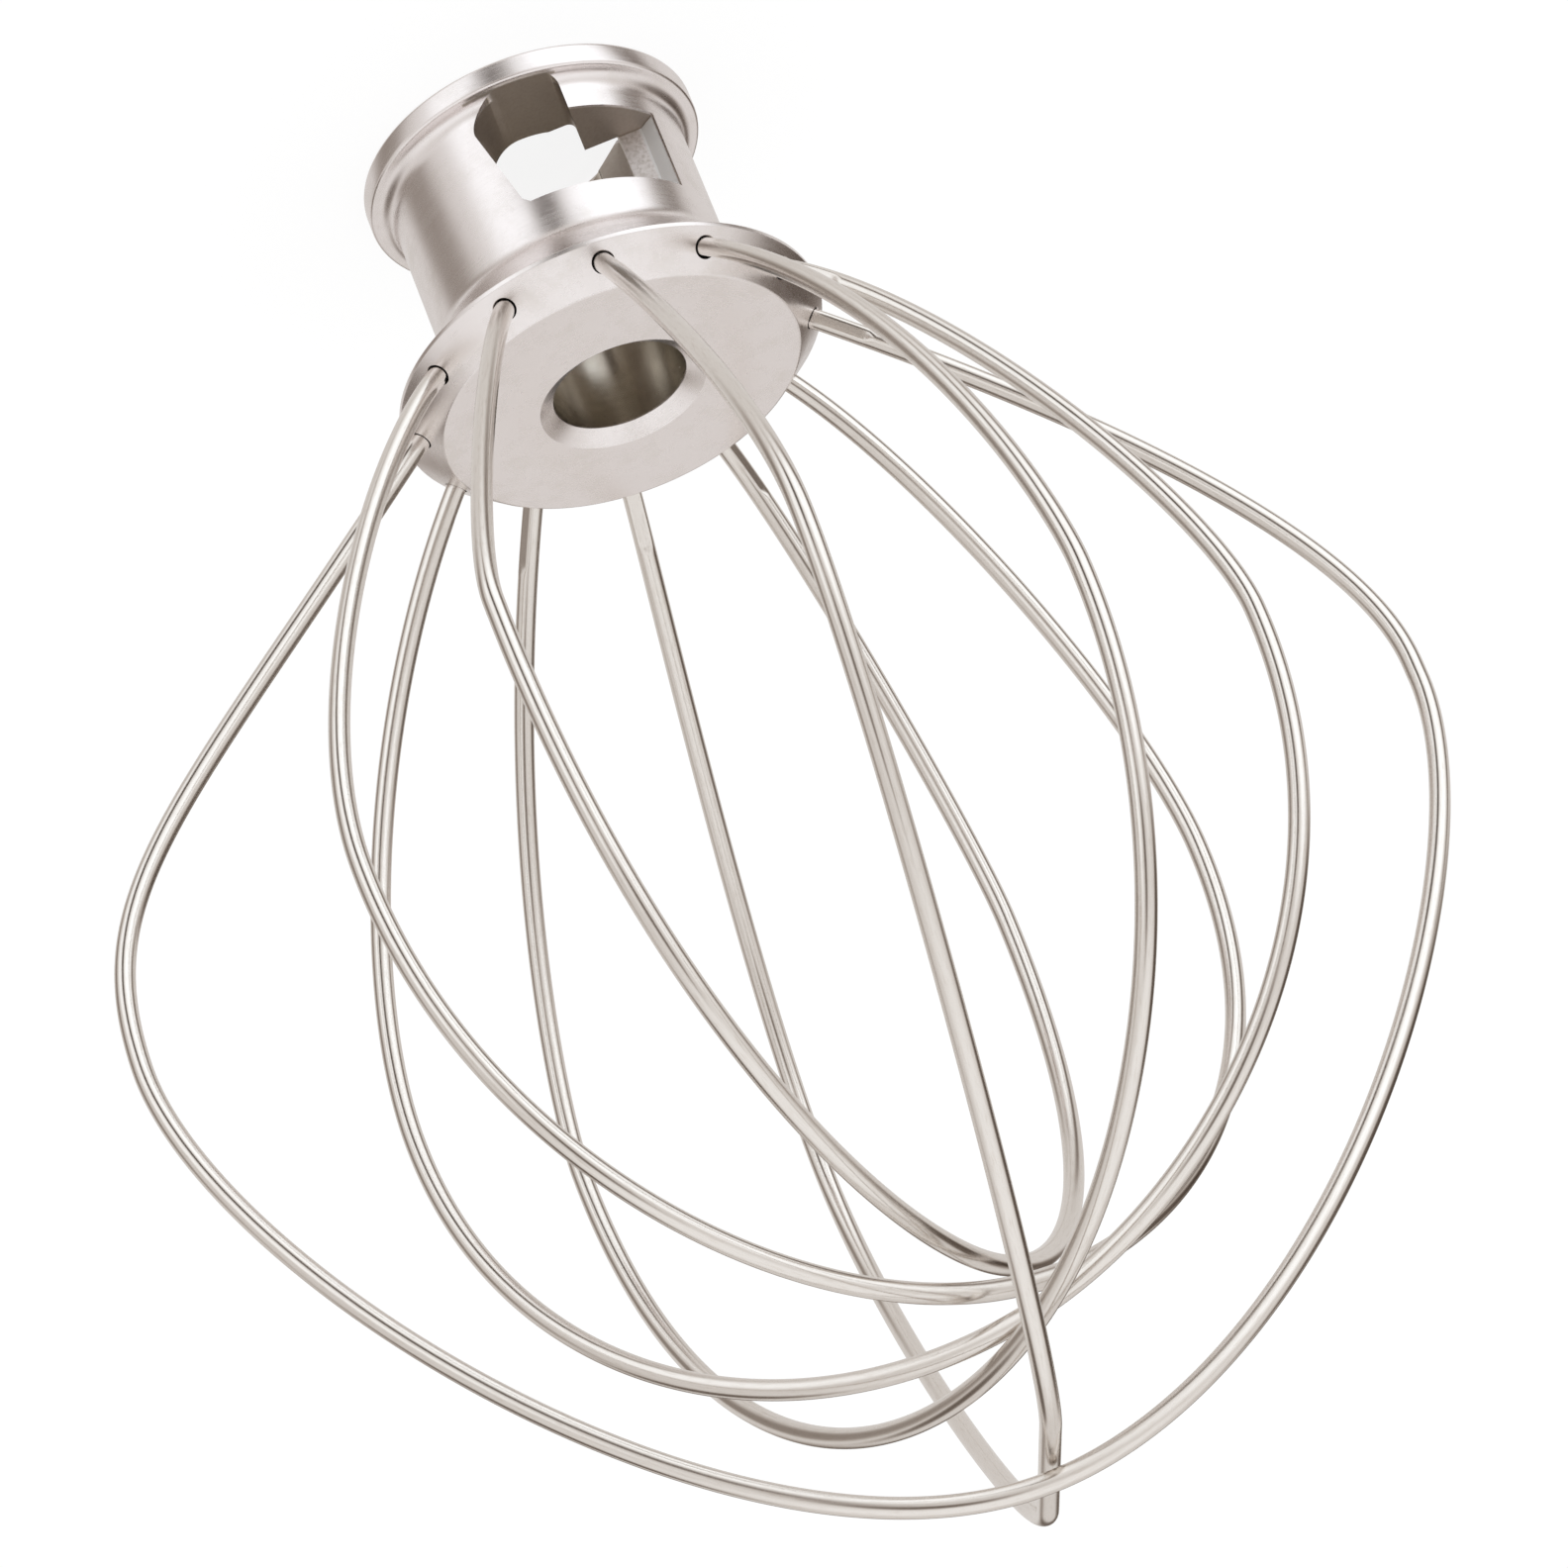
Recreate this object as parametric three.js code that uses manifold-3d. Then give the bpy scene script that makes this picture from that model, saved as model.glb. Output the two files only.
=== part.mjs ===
// Wire whip for a planetary mixer: a turned hub that carries six bent wire loops.
// Millimetres, +Z up along the hub's axis. The origin is on that axis, at the height where the whip balances,
// just past the hub's flat end face. The whip stands on the face of the hub's collar, below the origin, and
// the loops reach up. On the mixer the hub hangs from the drive shaft instead.
// All heights below are measured up from the collar's face.

import * as THREE from 'three';
import { mergeVertices } from 'three/addons/utils/BufferGeometryUtils.js';
import Module from 'manifold-3d';

// ---- Driving dimensions --------------------------------------------------------------------------

const shaftDiameter = 15.9;          // drive shaft of a small commercial mixer, five eighths of an inch
const boreRadius = (shaftDiameter + 0.2) / 2;
const wireDiameter = 2.38;           // three thirty-seconds of an inch
const wireRadius = wireDiameter / 2;
const clearance = 0.4;               // gap between a wire and the wall of its hole

const hubHeight = 35.8;
const balanceHeight = 38.5;          // height of the whip's centre of mass, which is the origin's height
const collarRadius = 20.3;
const collarThickness = 2.8;
const collarFillet = 2.0;
const edgeBreak = 0.5;               // small chamfer on the turned rims
const neckRadius = 17.8;
const flareFillet = 3.0;             // rounds the neck into the 45 degree back of the flange
const flangeRadius = 25.6;
const rimLow = 31.0;                 // the thin rim of the flange lies between these two heights
const rimHigh = 31.8;
const faceRadius = 21.6;             // flat end face that the shaft bore opens into
const faceChamfer = { width: 2.05, depth: 1.35 };
const mouthChamfer = 3.05;           // wide 45 degree lead-in for the shaft

const legCount = 12;
const holeCircleRadius = 23.6;       // where a wire leaves the bevel of the flange
const holeHeight = 33.35;
const legAngle = 47;                 // between the hub's axis and a wire where it leaves its hole
const wireSeat = 7.0;                // length of wire held inside the hub

// Bayonet window for the shaft's cross pin. It is cut along one azimuth, in a frame of its own: u runs
// across the window, v points out of it from the hub's axis, and z is the height.
const windowAzimuth = -81.7;
const slotHeights = [7.35, 18.2];    // the slot that the pin turns into, and the ledge above the pin
const pocket = {
  left: -4.8,
  right: 6.4,
  top: 3.1,                          // the pocket reaches from the slot almost to the collar's face
  farCorner: { u: 4.4, z: 3.5 },     // half axes of the large rounded corner
  nearCorner: 1.0,
  lean: 2.4,                         // how far the left side leans in by the time it meets the ledge
  bevel: 0.8,
};
const slotBack = 7.35;
const slotEnd = 13.4;                // from here the end wall of the slot runs outwards at 45 degrees
const keyway = { u: [0, 10.6], v: [-3.9, slotBack] };
const cutReach = 24;                 // far enough from the axis to cut clear of the neck
const overshoot = 1.5;               // how far a cutter stands out of the face that it enters

// The six loops, from the innermost to the outermost. Each lies close to one plane through the hub's axis.
// plane: azimuth of its first leg. yaw: how far the plane turns between the hub and the widest point.
// crown: height of the wire's centre line at the top. Each leg then has its widest radius and the height
// of that point (reach, belly), its bend handles as shares of the rise or the reach that they belong to
// (leg, shoulder, flank, top), and the radius at which it meets the level crown (tip).
const side = (reach, belly, leg, shoulder, flank, top, tip) => (
  { reach, belly, leg, shoulder, flank, top, tip });
const loops = [
  { plane: -60, yaw: 0, crown: 152.2, sides: [
    side(55.5, 86.0, 0.22, 0.15, 0.70, 0.46, 0.1), side(50.4, 93.3, 0.27, 0.19, 0.65, 0.485, -0.1)] },
  { plane: -30, yaw: 0, crown: 156.8, sides: [
    side(56.2, 99.8, 0.28, 0.30, 0.61, 0.48, 1.6), side(53.2, 100.4, 0.31, 0.26, 0.615, 0.48, -1.6)] },
  { plane: 30, yaw: 0, crown: 161.75, sides: [
    side(57.3, 103.9, 0.40, 0.285, 0.57, 0.545, -2.9), side(58.25, 104.2, 0.34, 0.19, 0.625, 0.45, 2.9)] },
  { plane: -120, yaw: 0, crown: 164.6, sides: [
    side(60.1, 105.4, 0.54, 0.125, 0.575, 0.52, 0.6), side(62.05, 102.4, 0.63, 0.10, 0.65, 0.49, -0.6)] },
  { plane: -90, yaw: -1.15, crown: 177.0, sides: [
    side(74.7, 101.9, 0.55, 0.18, 0.29, 0.24, 8.0), side(76.3, 101.2, 0.14, 0.43, 0.33, 0.17, 13.5)] },
  { plane: 0, yaw: 0, crown: 179.75, sides: [
    side(76.6, 100.1, 0.83, 0.35, 0.325, 0.445, 2.7), side(71.2, 102.4, 1.0, 0.07, 0.315, 0.49, -2.7)] },
];

const turningSegments = 72;
const holeSides = 12;
const wireSides = 8;
const wireSteps = 56;

const steel = { color: 0xcfc9c4, metalness: 1.0 };

const wasm = await Module();
wasm.setup();

// ---- Helpers -------------------------------------------------------------------------------------

const radians = THREE.MathUtils.degToRad;

function toSolid(geometry) {
  geometry.deleteAttribute('normal');
  geometry.deleteAttribute('uv');
  const merged = mergeVertices(geometry, 1e-4);
  return new wasm.Manifold(new wasm.Mesh({
    numProp: 3,
    vertProperties: new Float32Array(merged.attributes.position.array),
    triVerts: new Uint32Array(merged.index.array),
  }));
}

function toGeometry(solid) {
  const mesh = solid.getMesh();
  const geometry = new THREE.BufferGeometry();
  geometry.setAttribute('position', new THREE.BufferAttribute(mesh.vertProperties, 3));
  geometry.setIndex(new THREE.BufferAttribute(mesh.triVerts, 1));
  geometry.computeVertexNormals();
  return geometry;
}

// Points of an arc, both ends included, with its angles in degrees.
function arc(centreX, centreY, radiusX, radiusY, from, to, steps) {
  return Array.from({ length: steps + 1 }, (_, i) => {
    const angle = radians(from + (to - from) * i / steps);
    return new THREE.Vector2(centreX + radiusX * Math.cos(angle), centreY + radiusY * Math.sin(angle));
  });
}

// ---- Hub -----------------------------------------------------------------------------------------

// The turned outline, as radius and height, from the collar's face up the outside and down the bore.
function hubProfile() {
  const at = (r, z) => new THREE.Vector2(r, z);
  const collarUnderside = collarThickness + edgeBreak / 2;
  const collarCentre = at(neckRadius + collarFillet, collarUnderside + collarFillet);
  const flangeBack = at(flangeRadius - edgeBreak, rimLow);
  const coneAtNeck = flangeBack.y - (flangeBack.x - neckRadius);
  const filletCentre = coneAtNeck - flareFillet * Math.tan(radians(22.5));
  return [
    at(boreRadius + mouthChamfer, 0),
    at(collarRadius - edgeBreak, 0),
    at(collarRadius, edgeBreak),
    at(collarRadius, collarThickness - edgeBreak),
    at(collarRadius - edgeBreak, collarUnderside),
    ...arc(collarCentre.x, collarCentre.y, collarFillet, collarFillet, 270, 180, 4),
    ...arc(neckRadius + flareFillet, filletCentre, flareFillet, flareFillet, 180, 135, 3),
    flangeBack,
    at(flangeRadius, rimLow + edgeBreak / 2),
    at(flangeRadius, rimHigh),
    at(faceRadius, hubHeight),
    at(boreRadius + faceChamfer.width, hubHeight),
    at(boreRadius, hubHeight - faceChamfer.depth),
    at(boreRadius, mouthChamfer),
    at(boreRadius + mouthChamfer, 0),
  ];
}

// A blind hole, square to the bevel, that seats the end of one leg.
function legHole(azimuth) {
  const radius = wireRadius + clearance;
  const outside = radius + overshoot;
  const length = wireSeat + clearance + outside;
  const hole = new THREE.CylinderGeometry(radius, radius, length, holeSides);
  hole.rotateX(radians(90));
  hole.translate(0, 0, outside - length / 2);
  hole.rotateY(radians(legAngle));
  hole.translate(holeCircleRadius, 0, holeHeight);
  hole.rotateZ(radians(azimuth));
  return toSolid(hole);
}

// Turns a cutter drawn with x along u and y along v into the window's place on the hub.
function placeAtWindow(geometry) {
  geometry.rotateZ(radians(windowAzimuth - 90));
  return toSolid(geometry);
}

// The tall pocket, drawn across the window and cut through to the bore.
function pocketCutter() {
  const { left, right, top, farCorner, nearCorner, lean, bevel } = pocket;
  const [ledge, lip] = slotHeights;
  const outline = new THREE.Shape([
    new THREE.Vector2(right, ledge),
    new THREE.Vector2(right, lip),
    new THREE.Vector2(left + lean + bevel, lip),
    new THREE.Vector2(left + lean, lip - bevel),
    ...arc(left + farCorner.u, top + farCorner.z, farCorner.u, farCorner.z, 180, 270, 6),
    ...arc(right - nearCorner, top + nearCorner, nearCorner, nearCorner, 270, 360, 3),
  ]);
  const cutter = new THREE.ExtrudeGeometry(outline, { depth: cutReach, bevelEnabled: false });
  cutter.translate(0, 0, -cutReach);
  cutter.rotateX(radians(90));
  return placeAtWindow(cutter);
}

// The slot beside the pocket, drawn in plan, with its flat back wall and slanting end wall.
function slotCutter() {
  const [ledge, lip] = slotHeights;
  const plan = new THREE.Shape([
    new THREE.Vector2(0, slotBack),
    new THREE.Vector2(slotEnd, slotBack),
    new THREE.Vector2(slotEnd + cutReach - slotBack, cutReach),
    new THREE.Vector2(0, cutReach),
  ]);
  const cutter = new THREE.ExtrudeGeometry(plan, { depth: lip - ledge, bevelEnabled: false });
  cutter.translate(0, 0, ledge);
  return placeAtWindow(cutter);
}

// The way that the cross pin comes down, from the collar's face to the slot.
function keywayCutter() {
  const { u, v } = keyway;
  const depth = slotHeights[1] + overshoot;
  const cutter = new THREE.BoxGeometry(u[1] - u[0], v[1] - v[0], depth);
  cutter.translate((u[0] + u[1]) / 2, (v[0] + v[1]) / 2, depth / 2 - overshoot);
  return placeAtWindow(cutter);
}

function makeHub() {
  let hub = toSolid(new THREE.LatheGeometry(hubProfile(), turningSegments).rotateX(radians(90)));
  for (let i = 0; i < legCount; i += 1) {
    hub = hub.subtract(legHole(i * 360 / legCount));
  }
  for (const cutter of [pocketCutter(), slotCutter(), keywayCutter()]) {
    hub = hub.subtract(cutter);
  }
  const finish = new THREE.MeshStandardMaterial({ ...steel, roughness: 0.38 });
  const mesh = new THREE.Mesh(toGeometry(hub), finish);
  mesh.name = 'whip_hub';
  return mesh;
}

// ---- Wire loops ----------------------------------------------------------------------------------

// The centre line of one leg, from its end inside the hub up to the crown of the loop.
function legCurves(loop, index) {
  const { reach, belly, leg, shoulder, flank, top, tip } = loop.sides[index];
  const start = radians(loop.plane + 180 * index);
  const turned = radians(loop.plane + loop.yaw + 180 * index);
  const at = (azimuth, r, z) => new THREE.Vector3(r * Math.cos(azimuth), r * Math.sin(azimuth), z);
  const rise = belly - holeHeight;
  const fall = loop.crown - belly;
  const along = (length) => at(
    start,
    holeCircleRadius + length * Math.sin(radians(legAngle)),
    holeHeight + length * Math.cos(radians(legAngle)),
  );
  const widest = at(turned, reach, belly);
  return [
    new THREE.LineCurve3(along(-wireSeat), along(0)),
    new THREE.CubicBezierCurve3(
      along(0), along(leg * rise), at(turned, reach, belly - shoulder * rise), widest),
    new THREE.CubicBezierCurve3(
      widest, at(turned, reach, belly + flank * fall), at(turned, tip + top * reach, loop.crown),
      at(turned, tip, loop.crown)),
  ];
}

function reversed(curve) {
  return curve instanceof THREE.LineCurve3
    ? new THREE.LineCurve3(curve.v2, curve.v1)
    : new THREE.CubicBezierCurve3(curve.v3, curve.v2, curve.v1, curve.v0);
}

function loopPath(loop) {
  const path = new THREE.CurvePath();
  const first = legCurves(loop, 0);
  const second = legCurves(loop, 1).reverse().map(reversed);
  const across = new THREE.LineCurve3(first.at(-1).v3, second[0].v0);
  const joined = across.getLength() > clearance ? [...first, across, ...second] : [...first, ...second];
  joined.forEach((curve) => path.add(curve));
  return path;
}

function makeLoop(loop, index) {
  const section = new THREE.Shape(arc(0, 0, wireRadius, wireRadius, 0, 360, wireSides).slice(0, -1));
  const wire = new THREE.ExtrudeGeometry(section, { steps: wireSteps, extrudePath: loopPath(loop) });
  const finish = new THREE.MeshStandardMaterial({ ...steel, roughness: 0.18 });
  const mesh = new THREE.Mesh(wire, finish);
  mesh.name = `wire_loop_${index + 1}`;
  return mesh;
}

// ---- Assembly ------------------------------------------------------------------------------------

const assembly = new THREE.Group();
assembly.add(makeHub());
loops.forEach((loop, index) => assembly.add(makeLoop(loop, index)));
assembly.position.z = -balanceHeight;

const whip = new THREE.Group();
whip.add(assembly);

export default whip;
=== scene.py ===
"""The looks of a planetary mixer's wire whip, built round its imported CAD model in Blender 4.5.

The frame is the CAD frame, in metres: the origin is on the axis of the hub's bore, at the height where the
whip balances. The whip stands on the face of its collar below it, and the loops reach up along +Z. Dimensions
in this script are in millimetres, and MM turns them into metres. Heights are measured up from the collar's
face, until place() moves a piece down by the balance height.
"""

import math
from collections import namedtuple

import bmesh
import bpy
import numpy as np
from mathutils import Matrix, Vector


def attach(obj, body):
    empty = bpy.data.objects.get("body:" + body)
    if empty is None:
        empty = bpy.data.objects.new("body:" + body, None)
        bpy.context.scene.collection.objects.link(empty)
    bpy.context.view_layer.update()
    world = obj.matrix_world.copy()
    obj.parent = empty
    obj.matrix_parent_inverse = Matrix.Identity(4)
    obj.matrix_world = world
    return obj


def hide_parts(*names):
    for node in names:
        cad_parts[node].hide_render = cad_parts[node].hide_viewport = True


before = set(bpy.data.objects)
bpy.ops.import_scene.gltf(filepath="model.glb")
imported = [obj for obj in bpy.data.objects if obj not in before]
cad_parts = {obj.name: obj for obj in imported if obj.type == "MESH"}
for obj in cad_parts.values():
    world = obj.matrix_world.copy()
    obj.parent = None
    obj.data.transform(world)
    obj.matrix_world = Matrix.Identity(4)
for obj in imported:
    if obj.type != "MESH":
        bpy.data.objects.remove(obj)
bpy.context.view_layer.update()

MM = 0.001
BODY = "root"

# ---- Dimensions, as in the CAD model -----------------------------------------------------------------

BORE_RADIUS = 8.05
WIRE_RADIUS = 1.19
CLEARANCE = 0.4                       # the gap under a wire's end in its hole, as in the CAD model
PRESS_GAP = 0.15                      # the gap round it, narrower than in the CAD model: the rim of the hole

HUB_HEIGHT = 35.8
BALANCE_HEIGHT = 38.5                 # height of the origin; all other heights are above the collar's face
COLLAR_RADIUS = 20.3
COLLAR_UNDERSIDE = 3.05
NECK_RADIUS = 17.8
CONE_FOOT = 23.7                      # height where the 45 degree back of the flange would meet the neck
FLANGE_RADIUS = 25.6
RIM = (31.0, 31.25, 31.8)             # heights of the thin rim: back edge, widest from, widest to
FACE_RADIUS = 21.6
FACE_CHAMFER = (2.05, 1.35)           # width and depth at the bore
MOUTH_CHAMFER = 3.05                  # width and depth at the bore's mouth, in the collar's face

LEG_COUNT = 12
HOLE_CIRCLE = 23.6                    # each hole's axis passes a point at this radius and the height below
HOLE_HEIGHT = 33.35
HOLE_TO_BEVEL = 0.32                  # from that point to the bevel's surface, along the hole
HOLE_EDGE = 0.05                      # how much of the hole's edge is broken
LEG_ANGLE = math.radians(47)          # between a hole and the hub's axis
WIRE_SEAT = 7.0                       # how deep a wire sits, below that point

# The bayonet window, in a frame of its own: u across the window, v out of it from the axis, and the height.
# The slot and the pocket are open to the outside, and the pocket goes deeper. The keyway lies behind the
# slot, and is the pin's way in through the collar.
WINDOW_AZIMUTH = -81.7
SLOT_HEIGHTS = (7.35, 18.2)
SLOT_BACK = 7.35                      # v of the slot's flat back wall
SLOT_END = 13.4                       # u where its end wall leaves the back wall, to run out at 45 degrees
KEYWAY = ((0, 10.6), (-3.9, SLOT_BACK))         # its range in u, and in v

# The pocket has its sides at left and right, and its floor at floor. The corners at the two ends of the floor
# have the radii far and near. Its left side leans in by lean on the way up, and ends in a bevel at the roof.
POCKET = dict(left=-4.8, right=6.4, floor=3.1, far=(4.4, 3.5), near=1.0, lean=2.4, bevel=0.8)
CUT_REACH = 24                        # v where the window's cuts end, outside the collar
OVERSHOOT = 1.5                       # how far a cut runs out into the air
NEAR_AXIS = 0.001                     # the radius that a turned outline keeps where it should meet the axis

# A loop has a plane, the turn of the plane away from its holes, both in degrees, the height of its crown, and
# two legs. A leg is farthest from the axis, its reach, at the height of its belly, and it ends at the crown,
# tip away from the axis. The other four are the handles of its two curves: shares of the rise to the belly
# (foot, shoulder) and of the rise from there to the crown (flank), and a share of the reach (top).
Loop = namedtuple("Loop", "plane yaw crown legs")
Leg = namedtuple("Leg", "reach belly foot shoulder flank top tip")
LOOPS = [
    Loop(-60, 0, 152.2, (Leg(55.5, 86.0, 0.22, 0.15, 0.70, 0.46, 0.1),
                         Leg(50.4, 93.3, 0.27, 0.19, 0.65, 0.485, -0.1))),
    Loop(-30, 0, 156.8, (Leg(56.2, 99.8, 0.28, 0.30, 0.61, 0.48, 1.6),
                         Leg(53.2, 100.4, 0.31, 0.26, 0.615, 0.48, -1.6))),
    Loop(30, 0, 161.75, (Leg(57.3, 103.9, 0.40, 0.285, 0.57, 0.545, -2.9),
                         Leg(58.25, 104.2, 0.34, 0.19, 0.625, 0.45, 2.9))),
    Loop(-120, 0, 164.6, (Leg(60.1, 105.4, 0.54, 0.125, 0.575, 0.52, 0.6),
                          Leg(62.05, 102.4, 0.63, 0.10, 0.65, 0.49, -0.6))),
    Loop(-90, -1.15, 177.0, (Leg(74.7, 101.9, 0.55, 0.18, 0.29, 0.24, 8.0),
                             Leg(76.3, 101.2, 0.14, 0.43, 0.33, 0.17, 13.5))),
    Loop(0, 0, 179.75, (Leg(76.6, 100.1, 0.83, 0.35, 0.325, 0.445, 2.7),
                        Leg(71.2, 102.4, 1.0, 0.07, 0.315, 0.49, -2.7))),
]

# The flats that the press jaws left on the two legs of each loop: the side of the wire that they are on, in
# degrees from its outer side, their depth, and how far they reach from the hole. A mark ends in a short step.
Mark = namedtuple("Mark", "side depth reach")
MARKS = [
    (Mark(90, 0.28, 4.5), Mark(250, 0.25, 8.0)),
    (Mark(200, 0.12, 3.0), Mark(90, 0.25, 7.0)),
    (Mark(120, 0.15, 5.0), Mark(270, 0.30, 9.0)),
    (Mark(185, 0.36, 9.6), Mark(100, 0.25, 8.5)),
    (Mark(275, 0.38, 8.6), Mark(180, 0.30, 8.0)),
    (Mark(60, 0.15, 3.0), Mark(250, 0.28, 8.0)),
]
MARK_END = 0.7

# ---- Mesh helpers ------------------------------------------------------------------------------------


def new_object(name, vertices, faces):
    """A mesh object from points in millimetres."""
    mesh = bpy.data.meshes.new(name)
    mesh.from_pydata([tuple(c * MM for c in v) for v in vertices], [], faces)
    mesh.update()
    piece = bpy.data.objects.new(name, mesh)
    bpy.context.scene.collection.objects.link(piece)
    return piece


def arc(centre, radii, start, end, steps):
    """Points of an elliptic arc, both ends included, with its angles in degrees."""
    points = []
    for i in range(steps + 1):
        angle = math.radians(start + (end - start) * i / steps)
        points.append((centre[0] + radii[0] * math.cos(angle), centre[1] + radii[1] * math.sin(angle)))
    return points


def rounded(corners, steps=6):
    """A closed outline from (x, y, radius) corners, each rounded to its radius."""
    outline = []
    count = len(corners)
    for i, (x, y, radius) in enumerate(corners):
        here = Vector((x, y))
        before = (Vector(corners[i - 1][:2]) - here).normalized()
        after = (Vector(corners[(i + 1) % count][:2]) - here).normalized()
        half = before.angle(after) / 2
        tangent = radius / math.tan(half)
        centre = here + (before + after).normalized() * (radius / math.sin(half))
        first = here + before * tangent - centre
        last = here + after * tangent - centre
        for k in range(steps + 1):
            spoke = first.slerp(last, k / steps).normalized()
            outline.append(tuple(centre + radius * spoke))
    return outline


def subdivided(outline, longest):
    """The closed outline with extra points, so that no edge is longer than this."""
    points = []
    for here, there in zip(outline, outline[1:] + outline[:1]):
        a, b = Vector(here), Vector(there)
        pieces = max(1, math.ceil((b - a).length / longest))
        points += [tuple(a.lerp(b, i / pieces)) for i in range(pieces)]
    return points


def lathe(name, outline, segments):
    """Turns a closed outline of (radius, height) points round the Z axis."""
    count = len(outline)
    vertices = []
    for i in range(segments):
        turn = 2 * math.pi * i / segments
        vertices += [(r * math.cos(turn), r * math.sin(turn), z) for r, z in outline]
    faces = []
    for i in range(segments):
        a, b = i * count, (i + 1) % segments * count
        for j in range(count):
            k = (j + 1) % count
            faces.append((a + j, b + j, b + k, a + k))
    return new_object(name, vertices, faces)


def prism(name, outline, place, low, high):
    """A prism of an (x, y) outline. place(x, y, depth) gives each corner's point in space."""
    count = len(outline)
    vertices = [place(x, y, low) for x, y in outline] + [place(x, y, high) for x, y in outline]
    faces = [tuple(range(count))[::-1], tuple(range(count, 2 * count))]
    for j in range(count):
        k = (j + 1) % count
        faces.append((j, k, count + k, count + j))
    return new_object(name, vertices, faces)


def outward(piece):
    """Turns every face of a closed piece outwards."""
    work = bmesh.new()
    work.from_mesh(piece.data)
    bmesh.ops.recalc_face_normals(work, faces=work.faces)
    work.to_mesh(piece.data)
    work.free()
    return piece


def outline_normals(outline):
    """The unit normal at each point of a closed outline that runs anticlockwise round its inside."""
    points = np.array(outline)
    edges = np.roll(points, -1, 0) - points
    edges /= np.linalg.norm(edges, axis=1)[:, None]
    bend = edges + np.roll(edges, 1, 0)
    bend /= np.linalg.norm(bend, axis=1)[:, None]
    return np.stack([bend[:, 1], -bend[:, 0]], 1)


def turned_normals(piece, outline, tolerance=0.004):
    """Gives every face that lies on the turned outline the outline's own smooth normals."""
    points, normals = np.array(outline), outline_normals(outline)
    ahead = np.roll(points, -1, 0) - points
    mesh = piece.data
    place_of = np.empty(len(mesh.vertices) * 3)
    mesh.vertices.foreach_get("co", place_of)
    place_of = place_of.reshape(-1, 3) / MM
    radius = np.hypot(place_of[:, 0], place_of[:, 1])
    spots = np.stack([radius, place_of[:, 2]], 1)
    offset = spots[:, None, :] - points[None]
    share = np.clip((offset * ahead).sum(2) / (ahead ** 2).sum(1), 0, 1)
    distance = np.linalg.norm(offset - share[..., None] * ahead, axis=2)
    nearest = distance.argmin(1)
    rows = np.arange(len(spots))
    along = share[rows, nearest][:, None]
    following = np.roll(normals, -1, 0)
    flat = (1 - along) * normals[nearest] + along * following[nearest]
    spin = place_of[:, :2] / radius[:, None]
    smooth = np.stack([flat[:, 0] * spin[:, 0], flat[:, 0] * spin[:, 1], flat[:, 1]], 1)
    smooth /= np.linalg.norm(smooth, axis=1)[:, None]
    turned = distance[rows, nearest] < tolerance
    custom = np.zeros((len(mesh.loops), 3))
    for face in mesh.polygons:
        # A cut face can have all its corners on the outline too, but it looks another way.
        corners = list(face.vertices)
        if turned[corners].all() and np.dot(smooth[corners].mean(0), face.normal) > 0.9:
            custom[face.loop_start:face.loop_start + face.loop_total] = smooth[corners]
    mesh.normals_split_custom_set(custom.tolist())


def apply_modifiers(piece):
    """Makes the piece's mesh what its modifiers show, and removes them."""
    bpy.context.view_layer.update()
    evaluated = piece.evaluated_get(bpy.context.evaluated_depsgraph_get())
    result = bpy.data.meshes.new_from_object(evaluated)
    piece.modifiers.clear()
    piece.data = result


def cut(piece, cutters):
    """Subtracts the cutters from the piece and removes them."""
    for cutter in cutters:
        outward(cutter)
        modifier = piece.modifiers.new("cut", "BOOLEAN")
        modifier.operation = "DIFFERENCE"
        modifier.solver = "EXACT"
        modifier.object = cutter
    apply_modifiers(piece)
    for cutter in cutters:
        bpy.data.objects.remove(cutter)


def place(piece, node, slot_name, material):
    """Gives a piece its material and its place in the frame, in place of a CAD node."""
    piece.data.transform(Matrix.Translation((0, 0, -BALANCE_HEIGHT * MM)))
    piece.data.materials.clear()
    piece.data.materials.append(material)
    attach(piece, BODY)
    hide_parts(node)


# ---- Hub ---------------------------------------------------------------------------------------------


def window_point(u, v, z):
    """A point of the window's frame: u across the window, v out of it from the axis, z up."""
    turn = math.radians(WINDOW_AZIMUTH - 90)
    return (u * math.cos(turn) - v * math.sin(turn), u * math.sin(turn) + v * math.cos(turn), z)


def hub_outline():
    """The hub's section: collar, neck, 45 degree cone, thin rim, bevel, end face and bore."""
    return rounded([
        (BORE_RADIUS + MOUTH_CHAMFER, 0, 0.2),
        (COLLAR_RADIUS, 0, 0.55),
        (COLLAR_RADIUS, COLLAR_UNDERSIDE, 0.5),
        (NECK_RADIUS, COLLAR_UNDERSIDE, 2.0),
        (NECK_RADIUS, CONE_FOOT, 3.0),
        (NECK_RADIUS + RIM[0] - CONE_FOOT, RIM[0], 0.2),
        (FLANGE_RADIUS, RIM[1], 0.2),
        (FLANGE_RADIUS, RIM[2], 0.15),
        (FACE_RADIUS, HUB_HEIGHT, 0.6),
        (BORE_RADIUS + FACE_CHAMFER[0], HUB_HEIGHT, 0.2),
        (BORE_RADIUS, HUB_HEIGHT - FACE_CHAMFER[1], 0.15),
        (BORE_RADIUS, MOUTH_CHAMFER, 0.2),
    ])


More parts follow.
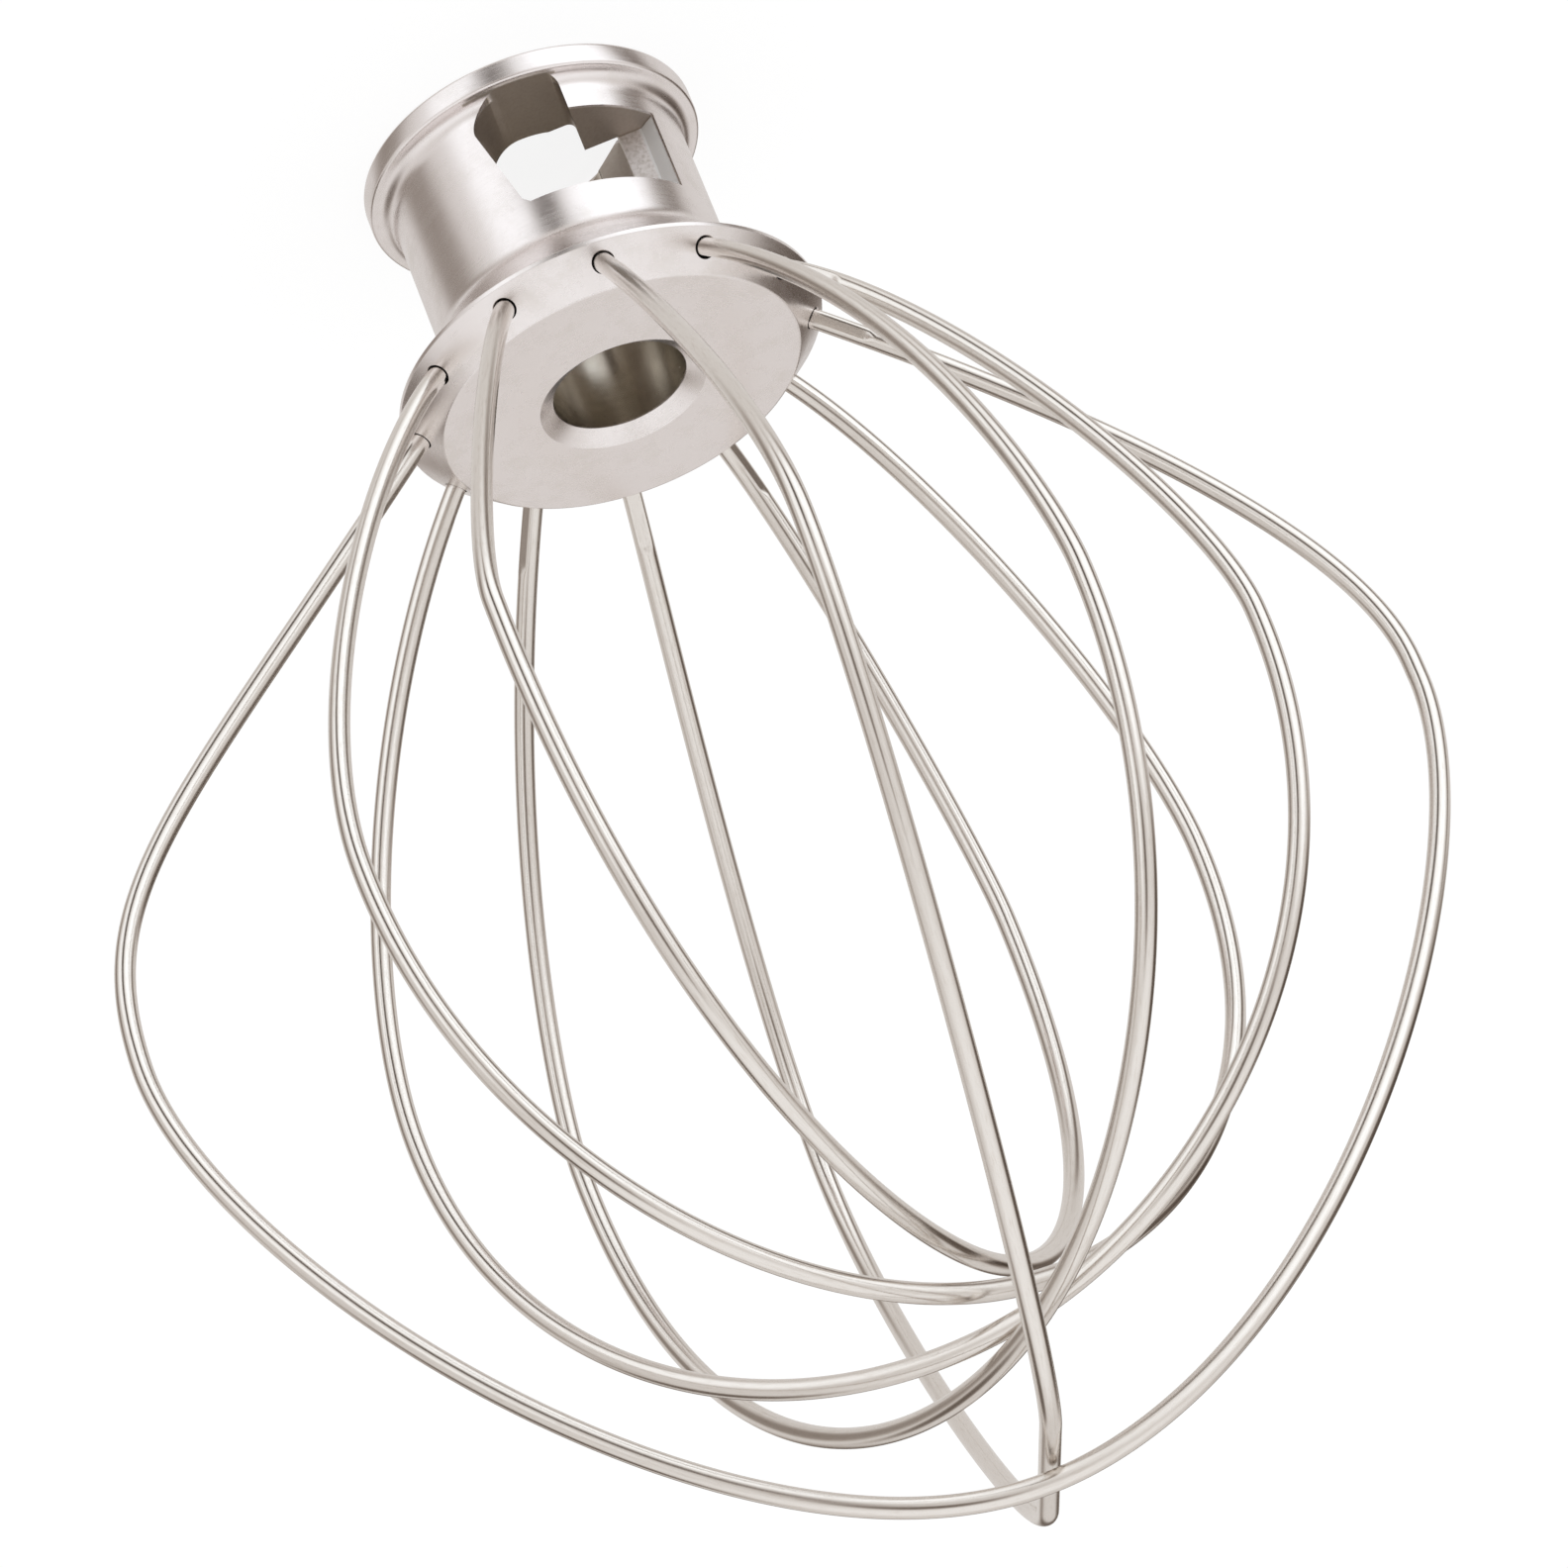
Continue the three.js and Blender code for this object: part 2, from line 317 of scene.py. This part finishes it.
def leg_hole(index):
    """The blind hole of one leg, with its edge broken where it leaves the bevel."""
    radius = WIRE_RADIUS + PRESS_GAP
    mouth = radius + 3 * HOLE_EDGE
    bottom = -WIRE_SEAT - CLEARANCE
    outline = [
        (NEAR_AXIS, bottom),
        (radius, bottom),
        (radius, HOLE_TO_BEVEL - HOLE_EDGE),
        (mouth, HOLE_TO_BEVEL + 2 * HOLE_EDGE),
        (mouth, OVERSHOOT),
        (NEAR_AXIS, OVERSHOOT),
    ]
    hole = lathe("hole", outline, segments=48)
    azimuth = 2 * math.pi * index / LEG_COUNT
    turn = Matrix.Rotation(azimuth, 4, "Z") @ Matrix.Translation((HOLE_CIRCLE * MM, 0, HOLE_HEIGHT * MM))
    hole.data.transform(turn @ Matrix.Rotation(LEG_ANGLE, 4, "Y"))
    return hole


def pocket_cutter():
    left, right, floor = POCKET["left"], POCKET["right"], POCKET["floor"]
    far, near, lean, bevel = POCKET["far"], POCKET["near"], POCKET["lean"], POCKET["bevel"]
    ledge, roof = SLOT_HEIGHTS
    outline = [(right, ledge), (right, roof), (left + lean + bevel, roof), (left + lean, roof - bevel)]
    outline += arc((left + far[0], floor + far[1]), far, 180, 270, 16)
    outline += arc((right - near, floor + near), (near, near), 270, 360, 6)
    return prism("pocket", outline, lambda u, z, v: window_point(u, v, z), 0, CUT_REACH)


def slot_cutter():
    plan = [
        (0, SLOT_BACK),
        (SLOT_END, SLOT_BACK),
        (SLOT_END + CUT_REACH - SLOT_BACK, CUT_REACH),
        (0, CUT_REACH),
    ]
    return prism("slot", plan, window_point, *SLOT_HEIGHTS)


def keyway_cutter():
    (left, right), (back, front) = KEYWAY
    plan = [(left, back), (right, back), (right, front), (left, front)]
    return prism("keyway", plan, window_point, -OVERSHOOT, SLOT_HEIGHTS[1])


def make_hub(material):
    hub = outward(lathe("hub", subdivided(hub_outline(), longest=2.0), segments=240))
    holes = [leg_hole(index) for index in range(LEG_COUNT)]
    cut(hub, holes + [pocket_cutter(), slot_cutter(), keyway_cutter()])
    hub.data.shade_smooth()
    hub.data.set_sharp_from_angle(angle=math.radians(28))
    turned_normals(hub, hub_outline())
    place(hub, "whip_hub", "hub_steel", material)


# ---- Wires -------------------------------------------------------------------------------------------


def polar(azimuth, radius, height):
    """The point at an azimuth in degrees, a distance from the axis and a height."""
    turn = math.radians(azimuth)
    return np.array([radius * math.cos(turn), radius * math.sin(turn), height])


def bezier(points, steps=200):
    """Points along the cubic Bezier curve of four points."""
    t = np.linspace(0, 1, steps + 1)[:, None]
    a, b, c, d = points
    return (1 - t) ** 3 * a + 3 * (1 - t) ** 2 * t * b + 3 * (1 - t) * t * t * c + t ** 3 * d


def leg_line(loop, index):
    """One leg's centre line, from its end in the hub to the loop's crown."""
    leg = loop.legs[index]
    start = loop.plane + 180 * index
    turned = start + loop.yaw
    lower_rise = leg.belly - HOLE_HEIGHT
    upper_rise = loop.crown - leg.belly

    def along(length):
        radius = HOLE_CIRCLE + length * math.sin(LEG_ANGLE)
        return polar(start, radius, HOLE_HEIGHT + length * math.cos(LEG_ANGLE))

    widest = polar(turned, leg.reach, leg.belly)
    lower = [
        along(0),
        along(leg.foot * lower_rise),
        polar(turned, leg.reach, leg.belly - leg.shoulder * lower_rise),
        widest,
    ]
    upper = [
        widest,
        polar(turned, leg.reach, leg.belly + leg.flank * upper_rise),
        polar(turned, leg.tip + leg.top * leg.reach, loop.crown),
        polar(turned, leg.tip, loop.crown),
    ]
    return np.vstack([along(-WIRE_SEAT)[None], bezier(lower), bezier(upper)[1:]])


def even_steps(line, step):
    """The same line with points at an even spacing, and their distances along it."""
    lengths = np.r_[0, np.cumsum(np.linalg.norm(np.diff(line, axis=0), axis=1))]
    along = np.linspace(0, lengths[-1], round(lengths[-1] / step) + 1)
    return np.stack([np.interp(along, lengths, line[:, k]) for k in range(3)], 1), along


def loop_line(loop, step):
    """The centre line of a whole loop, at an even spacing, and the distances along it."""
    first = leg_line(loop, 0)
    second = leg_line(loop, 1)[::-1]
    legs_meet = np.linalg.norm(second[0] - first[-1]) < step
    return even_steps(np.vstack([first, second[1:] if legs_meet else second]), step)


def flattened(spoke, distance, mark):
    """Moves a point of the wire's round section onto the flat that the press jaw left, if it is there."""
    side = math.radians(mark.side)
    toward = (math.cos(side), math.sin(side))
    ahead = spoke[0] * toward[0] + spoke[1] * toward[1]
    fade = min(max((WIRE_SEAT + mark.reach - distance) / MARK_END, 0), 1)
    excess = max(0, ahead - (WIRE_RADIUS - mark.depth * fade))
    return spoke[0] - excess * toward[0], spoke[1] - excess * toward[1]


def make_wire(index, material, sides=32, step=0.5):
    """One loop of round wire, swept along its centre line, with the flats of the press jaws on its legs."""
    loop = LOOPS[index]
    line, along = loop_line(loop, step)
    tangent = np.gradient(line, axis=0)
    tangent /= np.linalg.norm(tangent, axis=1)[:, None]
    normal = polar(loop.plane + loop.yaw + 90, 1, 0)
    length = along[-1]
    vertices = []
    grain = []
    for centre, direction, distance in zip(line, tangent, along):
        across = np.cross(normal, direction)
        across /= np.linalg.norm(across)
        up = np.cross(direction, across)
        for k in range(sides):
            turn = 2 * math.pi * k / sides
            spoke = (WIRE_RADIUS * math.cos(turn), WIRE_RADIUS * math.sin(turn))
            spoke = flattened(spoke, distance, MARKS[index][0])
            spoke = flattened(spoke, length - distance, MARKS[index][1])
            vertices.append(centre + spoke[0] * across + spoke[1] * up)
            grain.append((math.cos(turn), math.sin(turn), distance * GRAIN_PER_MM))
    faces = []
    rings = len(line)
    for i in range(rings - 1):
        for k in range(sides):
            n = (k + 1) % sides
            faces.append((i * sides + k, i * sides + n, (i + 1) * sides + n, (i + 1) * sides + k))
    faces.append(tuple(range(sides))[::-1])
    faces.append(tuple(range((rings - 1) * sides, rings * sides)))
    wire = outward(new_object(f"wire_{index + 1}", vertices, faces))
    drawn = wire.data.attributes.new("drawn", "FLOAT_VECTOR", "POINT")
    drawn.data.foreach_set("vector", np.array(grain, dtype=np.float32).ravel())
    wire.data.shade_smooth()
    wire.data.set_sharp_from_angle(angle=math.radians(40))
    place(wire, f"wire_loop_{index + 1}", "wire_steel", material)


# ---- Materials ---------------------------------------------------------------------------------------

HUB_COLOUR = (0.87, 0.825, 0.815)
HUB_STAIN = (0.82, 0.775, 0.75)
HUB_RING = (0.81, 0.77, 0.755)
GRIT_COLOUR = (0.62, 0.57, 0.53)      # specks on the unpolished inside
PAINTED_SHADE_COLOUR = (0.40, 0.34, 0.285)     # painted shade: the inside under the slot, and all of it away from the slot's end
PAINTED_SHADE_SHARE = 0.85
# painted shade: the bore's steel, darker and browner than the rest of the hub
BORE_PAINTED_SHADE = (0.61, 0.565, 0.50)
END_WALL_COLOUR = (0.88, 0.87, 0.86)
WIRE_COLOUR = (0.79, 0.75, 0.71)
WIRE_PATCH = (0.68, 0.62, 0.565)

# Roughness at the two ends of a noise texture's usual range, and what is added to it on some surfaces. The
# duller patches of a wire are the upper part of that range.
NOISE_RANGE = (0.3, 0.7)
PATCH_RANGE = (0.5, 0.9)
HUB_ROUGHNESS = (0.24, 0.27)
STAIN_ROUGHNESS = (-0.02, 0.04)
WIRE_ROUGHNESS = (0.18, 0.20)
PATCH_ROUGHNESS = (0, 0.05)
ADDED_INSIDE = 0.25
ADDED_IN_BORE = -0.03
ADDED_ON_END_WALL = 0.30

# Where the hub's surfaces change: the height where the bore's wall ends, under its chamfer, how far out the
# pocket's floor reaches, through the fillet under the collar, and how far such a limit stays off a surface.
BORE_TOP = HUB_HEIGHT - 1.8
POCKET_FLOOR_RADIUS = 19.6
LEVEL_MARGIN = 0.05
WALL_MARGIN = 0.2

# The texture of a wire runs round it, and along it in centimetres. Streaks are the same texture drawn out.
GRAIN_PER_MM = 0.1
DRAWN_OUT = (1, 1, 0.12)


class Nodes:
    """A short way to add nodes to a tree: each method returns the new node's output socket."""

    def __init__(self, tree):
        self.tree = tree

    def add(self, kind, output=0, settings=None, **inputs):
        """Adds a node. An input goes by its name, with _ for each space, or by i and its number."""
        node = self.tree.nodes.new(kind)
        for name, value in (settings or {}).items():
            setattr(node, name, value)
        for name, value in inputs.items():
            key = int(name[1:]) if name[1:].isdigit() and name[0] == "i" else name.replace("_", " ")
            socket = node.inputs[key]
            if isinstance(value, bpy.types.NodeSocket):
                self.tree.links.new(value, socket)
            else:
                socket.default_value = value
        return node.outputs[output]

    def math(self, operation, a, b=0.0, c=0.0):
        return self.add("ShaderNodeMath", settings={"operation": operation}, i0=a, i1=b, i2=c)

    def product(self, *factors):
        result = factors[0]
        for factor in factors[1:]:
            result = self.math("MULTIPLY", result, factor)
        return result

    def vector(self, operation, a, b=(0, 0, 0), output=0):
        return self.add("ShaderNodeVectorMath", output, {"operation": operation}, i0=a, i1=b)

    def remap(self, value, low, high, to_low=0.0, to_high=1.0):
        """Takes low to to_low and high to to_high, smoothly in between, and level outside."""
        return self.add("ShaderNodeMapRange", settings={"interpolation_type": "SMOOTHSTEP"}, Value=value,
                        From_Min=low, From_Max=high, To_Min=to_low, To_Max=to_high)

    def mix(self, factor, a, b):
        """A blend of two colours, given as RGB tuples or sockets."""
        # A Mix node takes its colours as inputs 6 and 7, and gives their blend as output 2.
        first, second = ((*colour, 1) if isinstance(colour, tuple) else colour for colour in (a, b))
        return self.add("ShaderNodeMix", 2, {"data_type": "RGBA"}, i0=factor, i6=first, i7=second)

    def noise(self, vector, scale, detail, roughness):
        return self.add("ShaderNodeTexNoise", Vector=vector, Scale=scale, Detail=detail, Roughness=roughness)


def new_material(name, metallic=1.0, anisotropic=0.0):
    """A new material, with its shader and the Nodes of its tree."""
    material = bpy.data.materials.new(name)
    material.use_nodes = True
    shader = material.node_tree.nodes["Principled BSDF"]
    shader.inputs["Metallic"].default_value = metallic
    shader.inputs["Anisotropic"].default_value = anisotropic
    return material, shader, Nodes(material.node_tree)


def hub_masks(nodes, spot, height, radius):
    """Masks of the hub's inside, the part of it painted with shade, the bore, also painted darker as shade,
    and the slot's end wall, each from 0 to 1.

    The inside is every surface between the collar's face and the end face that lies well within the neck, and
    all of the pocket's floor.
    """
    def below(limit, blend=0.15):
        return nodes.remap(height, (limit + blend - BALANCE_HEIGHT) * MM, (limit - BALANCE_HEIGHT) * MM)

    def within(size, limit, blend=0.3):
        return nodes.remap(size, limit * MM, (limit - blend) * MM)

    across = nodes.vector("DOT_PRODUCT", spot, window_point(1, 0, 0), output=1)
    pocket_middle = 0.5 * (POCKET["left"] + POCKET["right"])
    pocket_half = 0.5 * (POCKET["right"] - POCKET["left"])
    off_middle = nodes.math("ABSOLUTE", nodes.math("SUBTRACT", across, pocket_middle * MM))
    floor = nodes.product(
        below(POCKET["floor"] + LEVEL_MARGIN, 0.1),
        within(radius, POCKET_FLOOR_RADIUS),
        within(off_middle, pocket_half + WALL_MARGIN),
    )
    between_faces = nodes.math("SUBTRACT", below(BORE_TOP, 0.4), below(0, 0.6))
    within_neck = within(radius, NECK_RADIUS - WALL_MARGIN)
    inside = nodes.product(nodes.math("MAXIMUM", within_neck, floor), between_faces)
    under_slot = below(SLOT_HEIGHTS[0] + LEVEL_MARGIN)
    away_from_slot_end = nodes.remap(across, 1 * MM, -1 * MM)
    painted_shade = nodes.product(inside, nodes.math("MAXIMUM", under_slot, away_from_slot_end))
    bore = nodes.product(inside, within(radius, BORE_RADIUS + WALL_MARGIN, 0.1))
    past_slot_end = nodes.remap(across, (SLOT_END - 0.5) * MM, (SLOT_END - 0.1) * MM)
    end_wall = nodes.product(inside, past_slot_end)
    end_wall = nodes.math("SUBTRACT", end_wall, nodes.product(end_wall, under_slot))
    return inside, painted_shade, bore, end_wall


def hub_material():
    """Turned steel: fine rings left by the tool, faint stains and grit, and an unpolished inside, darkened
    with painted shade.
    """
    material, shader, nodes = new_material("hub steel", anisotropic=0.25)
    link = material.node_tree.links.new
    spot = nodes.add("ShaderNodeTexCoord", "Object")
    x, y, z = (nodes.add("ShaderNodeSeparateXYZ", axis, i0=spot) for axis in range(3))
    radius = nodes.math("SQRT", nodes.math("ADD", nodes.product(x, x), nodes.product(y, y)))
    turned = nodes.add("ShaderNodeCombineXYZ", X=radius, Z=z)
    rings = nodes.noise(turned, scale=2600, detail=2.0, roughness=0.6)
    stains = nodes.noise(spot, scale=260, detail=5.0, roughness=0.7)
    grit = nodes.noise(spot, scale=2400, detail=3.0, roughness=0.6)
    inside, painted_shade, bore, end_wall = hub_masks(nodes, spot, z, radius)
    rough = nodes.math("SUBTRACT", inside, bore)

    ring_roughness = nodes.remap(rings, *NOISE_RANGE, *HUB_ROUGHNESS)
    stain_roughness = nodes.remap(stains, *NOISE_RANGE, *STAIN_ROUGHNESS)
    roughness = nodes.math("ADD", ring_roughness, stain_roughness)
    roughness = nodes.math("MULTIPLY_ADD", bore, ADDED_IN_BORE, roughness)
    roughness = nodes.math("MULTIPLY_ADD", end_wall, ADDED_ON_END_WALL, roughness)
    roughness = nodes.math("MULTIPLY_ADD", rough, ADDED_INSIDE, roughness)
    link(roughness, shader.inputs["Roughness"])

    colour = nodes.mix(nodes.remap(stains, low=0.42, high=0.75), HUB_COLOUR, HUB_STAIN)
    colour = nodes.mix(nodes.remap(rings, low=0.6, high=0.9), colour, HUB_RING)
    specks = nodes.product(rough, nodes.remap(grit, low=0.35, high=0.75))
    colour = nodes.mix(specks, colour, GRIT_COLOUR)
    # Painted shade: the hollows of the inside darkened to brown.
    colour = nodes.mix(nodes.product(painted_shade, PAINTED_SHADE_SHARE), colour, PAINTED_SHADE_COLOUR)
    # Painted shade: the bore's darker, browner base stands in for the dark that it mirrors.
    colour = nodes.mix(bore, colour, BORE_PAINTED_SHADE)
    colour = nodes.mix(end_wall, colour, END_WALL_COLOUR)
    link(colour, shader.inputs["Base Color"])

    turned_height = nodes.product(rings, nodes.math("SUBTRACT", 1.0, inside))
    rough_height = nodes.product(grit, rough)
    fine = nodes.add("ShaderNodeBump", Height=turned_height, Strength=0.02, Distance=0.03 * MM)
    coarse = nodes.add("ShaderNodeBump", Height=rough_height, Strength=0.2, Distance=0.1 * MM, Normal=fine)
    link(coarse, shader.inputs["Normal"])
    around = nodes.add("ShaderNodeTangent", settings={"direction_type": "RADIAL", "axis": "Z"})
    link(around, shader.inputs["Tangent"])
    return material


def wire_material():
    """Drawn and polished stainless wire: faint streaks along the wire, and duller patches."""
    material, shader, nodes = new_material("wire steel")
    link = material.node_tree.links.new
    drawn = nodes.add("ShaderNodeAttribute", "Vector", {"attribute_name": "drawn"})
    drawn_out = nodes.vector("MULTIPLY", drawn, DRAWN_OUT)
    streaks = nodes.noise(drawn_out, scale=9.0, detail=3.0, roughness=0.6)
    patches = nodes.noise(drawn, scale=5.0, detail=4.0, roughness=0.65)
    streak_roughness = nodes.remap(streaks, *NOISE_RANGE, *WIRE_ROUGHNESS)
    patch_roughness = nodes.remap(patches, *PATCH_RANGE, *PATCH_ROUGHNESS)
    link(nodes.math("ADD", streak_roughness, patch_roughness), shader.inputs["Roughness"])
    colour = nodes.mix(nodes.remap(patches, low=0.45, high=0.9), WIRE_COLOUR, WIRE_PATCH)
    link(colour, shader.inputs["Base Color"])
    bump = nodes.add("ShaderNodeBump", Height=streaks, Strength=0.04, Distance=0.03 * MM)
    link(bump, shader.inputs["Normal"])
    return material


# ---- Studio ------------------------------------------------------------------------------------------

# The camera sees the target from this azimuth, elevation and distance, and it is rolled by this angle. The
# offset then moves it across and up its own picture. The target is measured from the frame's origin.
CAMERA = dict(azimuth=-81.709, elevation=28.613, distance=700.2, roll=158.129, target=(0, 0, 59.7),
              offset=(-1.965, 6.043), lens=145.73)
SENSOR_WIDTH = 36

# What the steel mirrors: a pale tent with bright panels and dark gaps, each an ellipse with a soft edge.
# A panel has the azimuth and elevation of its middle, half its width and height, all in degrees, and what it
# adds to the tent's light. SOFT_EDGE says where it ends and where it has its full strength, as shares of its
# size.
TENT = 0.76                           # white is 1
DIMMEST = 0.06
SOFT_EDGE = (1.35, 0.55)
WARMTH = (1.0, 1.12, 1.22)            # the dimmer the light, the browner it is
PANELS = [
    (-130, -25, 30, 48, 0.58),
    (-50, -25, 17, 48, 0.42),
    (-85, 80, 60, 40, 0.24),
    (-80, -32, 8, 42, -0.78),
    (-82, 27, 11, 16, -0.62),
    (-178, -30, 11, 36, -0.60),
    (14, -30, 17, 36, -0.46),
    (105, -2, 52, 12, -0.62),
    (155, 16, 24, 18, -0.64),
    (36, 22, 17, 17, -0.62),
]

# The floor is a light table: it glows, so that the shadow under the whip stays faint.
FLOOR_REACH = 3000                    # half its width
FLOOR_ALBEDO = 0.16
FLOOR_GLOW = 0.86


def make_camera():
    azimuth, elevation = math.radians(CAMERA["azimuth"]), math.radians(CAMERA["elevation"])
    roll = math.radians(CAMERA["roll"])
    back = Vector((math.cos(elevation) * math.cos(azimuth), math.cos(elevation) * math.sin(azimuth),
                   math.sin(elevation)))
    level = Vector((-math.sin(azimuth), math.cos(azimuth), 0))
    upward = back.cross(level)
    right = math.cos(roll) * level + math.sin(roll) * upward
    up = math.cos(roll) * upward - math.sin(roll) * level
    across, along = CAMERA["offset"]
    position = Vector(CAMERA["target"]) + CAMERA["distance"] * back + across * right + along * up
    data = bpy.data.cameras.new("camera")
    data.lens = CAMERA["lens"]
    data.sensor_width = SENSOR_WIDTH
    data.clip_start = 10 * MM
    camera = bpy.data.objects.new("camera", data)
    camera.matrix_world = Matrix.Translation(position * MM) @ Matrix((right, up, back)).transposed().to_4x4()
    bpy.context.scene.collection.objects.link(camera)
    bpy.context.scene.camera = camera


def panel_light(nodes, direction, azimuth, elevation, half_width, half_height):
    """How far a direction lies inside one soft panel, from 0 to 1."""
    turn, tilt = math.radians(azimuth), math.radians(elevation)
    facing = Vector((math.cos(tilt) * math.cos(turn), math.cos(tilt) * math.sin(turn), math.sin(tilt)))
    size = (1.0, math.sin(math.radians(half_width)), math.sin(math.radians(half_height)))
    local = nodes.add("ShaderNodeMapping", settings={"vector_type": "TEXTURE"}, Vector=direction,
                      Location=facing, Rotation=(0, -tilt, turn), Scale=size)
    return nodes.remap(nodes.vector("LENGTH", local, output=1), *SOFT_EDGE)


def make_world():
    """White light all round, but the tent with its panels in what the steel mirrors."""
    world = bpy.data.worlds.new("studio")
    world.use_nodes = True
    nodes = Nodes(world.node_tree)
    direction = nodes.add("ShaderNodeTexCoord", "Generated")
    light = TENT
    for *panel, gain in PANELS:
        light = nodes.math("MULTIPLY_ADD", panel_light(nodes, direction, *panel), gain, light)
    light = nodes.math("MAXIMUM", light, DIMMEST)
    red, green, blue = (nodes.math("POWER", light, power) for power in WARMTH)
    tent = nodes.add("ShaderNodeCombineXYZ", X=red, Y=green, Z=blue)
    mirrored = nodes.add("ShaderNodeLightPath", "Is Glossy Ray")
    background = world.node_tree.nodes["Background"]
    world.node_tree.links.new(nodes.mix(mirrored, (1.0, 1.0, 1.0), tent), background.inputs["Color"])
    bpy.context.scene.world = world


def make_floor():
    corners = [(-FLOOR_REACH, -FLOOR_REACH), (FLOOR_REACH, -FLOOR_REACH),
               (FLOOR_REACH, FLOOR_REACH), (-FLOOR_REACH, FLOOR_REACH)]
    floor = new_object("floor", [(x, y, -BALANCE_HEIGHT) for x, y in corners], [(0, 1, 2, 3)])
    floor.visible_glossy = False
    material, shader, _ = new_material("floor", metallic=0.0)
    shader.inputs["Base Color"].default_value = (FLOOR_ALBEDO, FLOOR_ALBEDO, FLOOR_ALBEDO, 1)
    shader.inputs["Emission Color"].default_value = (1, 1, 1, 1)
    shader.inputs["Emission Strength"].default_value = FLOOR_GLOW
    shader.inputs["Roughness"].default_value = 0.9
    shader.inputs["Specular IOR Level"].default_value = 0.1
    floor.data.materials.append(material)


# ---- Everything together -----------------------------------------------------------------------------

make_camera()
make_hub(hub_material())
wire_steel = wire_material()
for number in range(len(LOOPS)):
    make_wire(number, wire_steel)
make_world()
make_floor()
bpy.context.scene.view_settings.view_transform = "Standard"
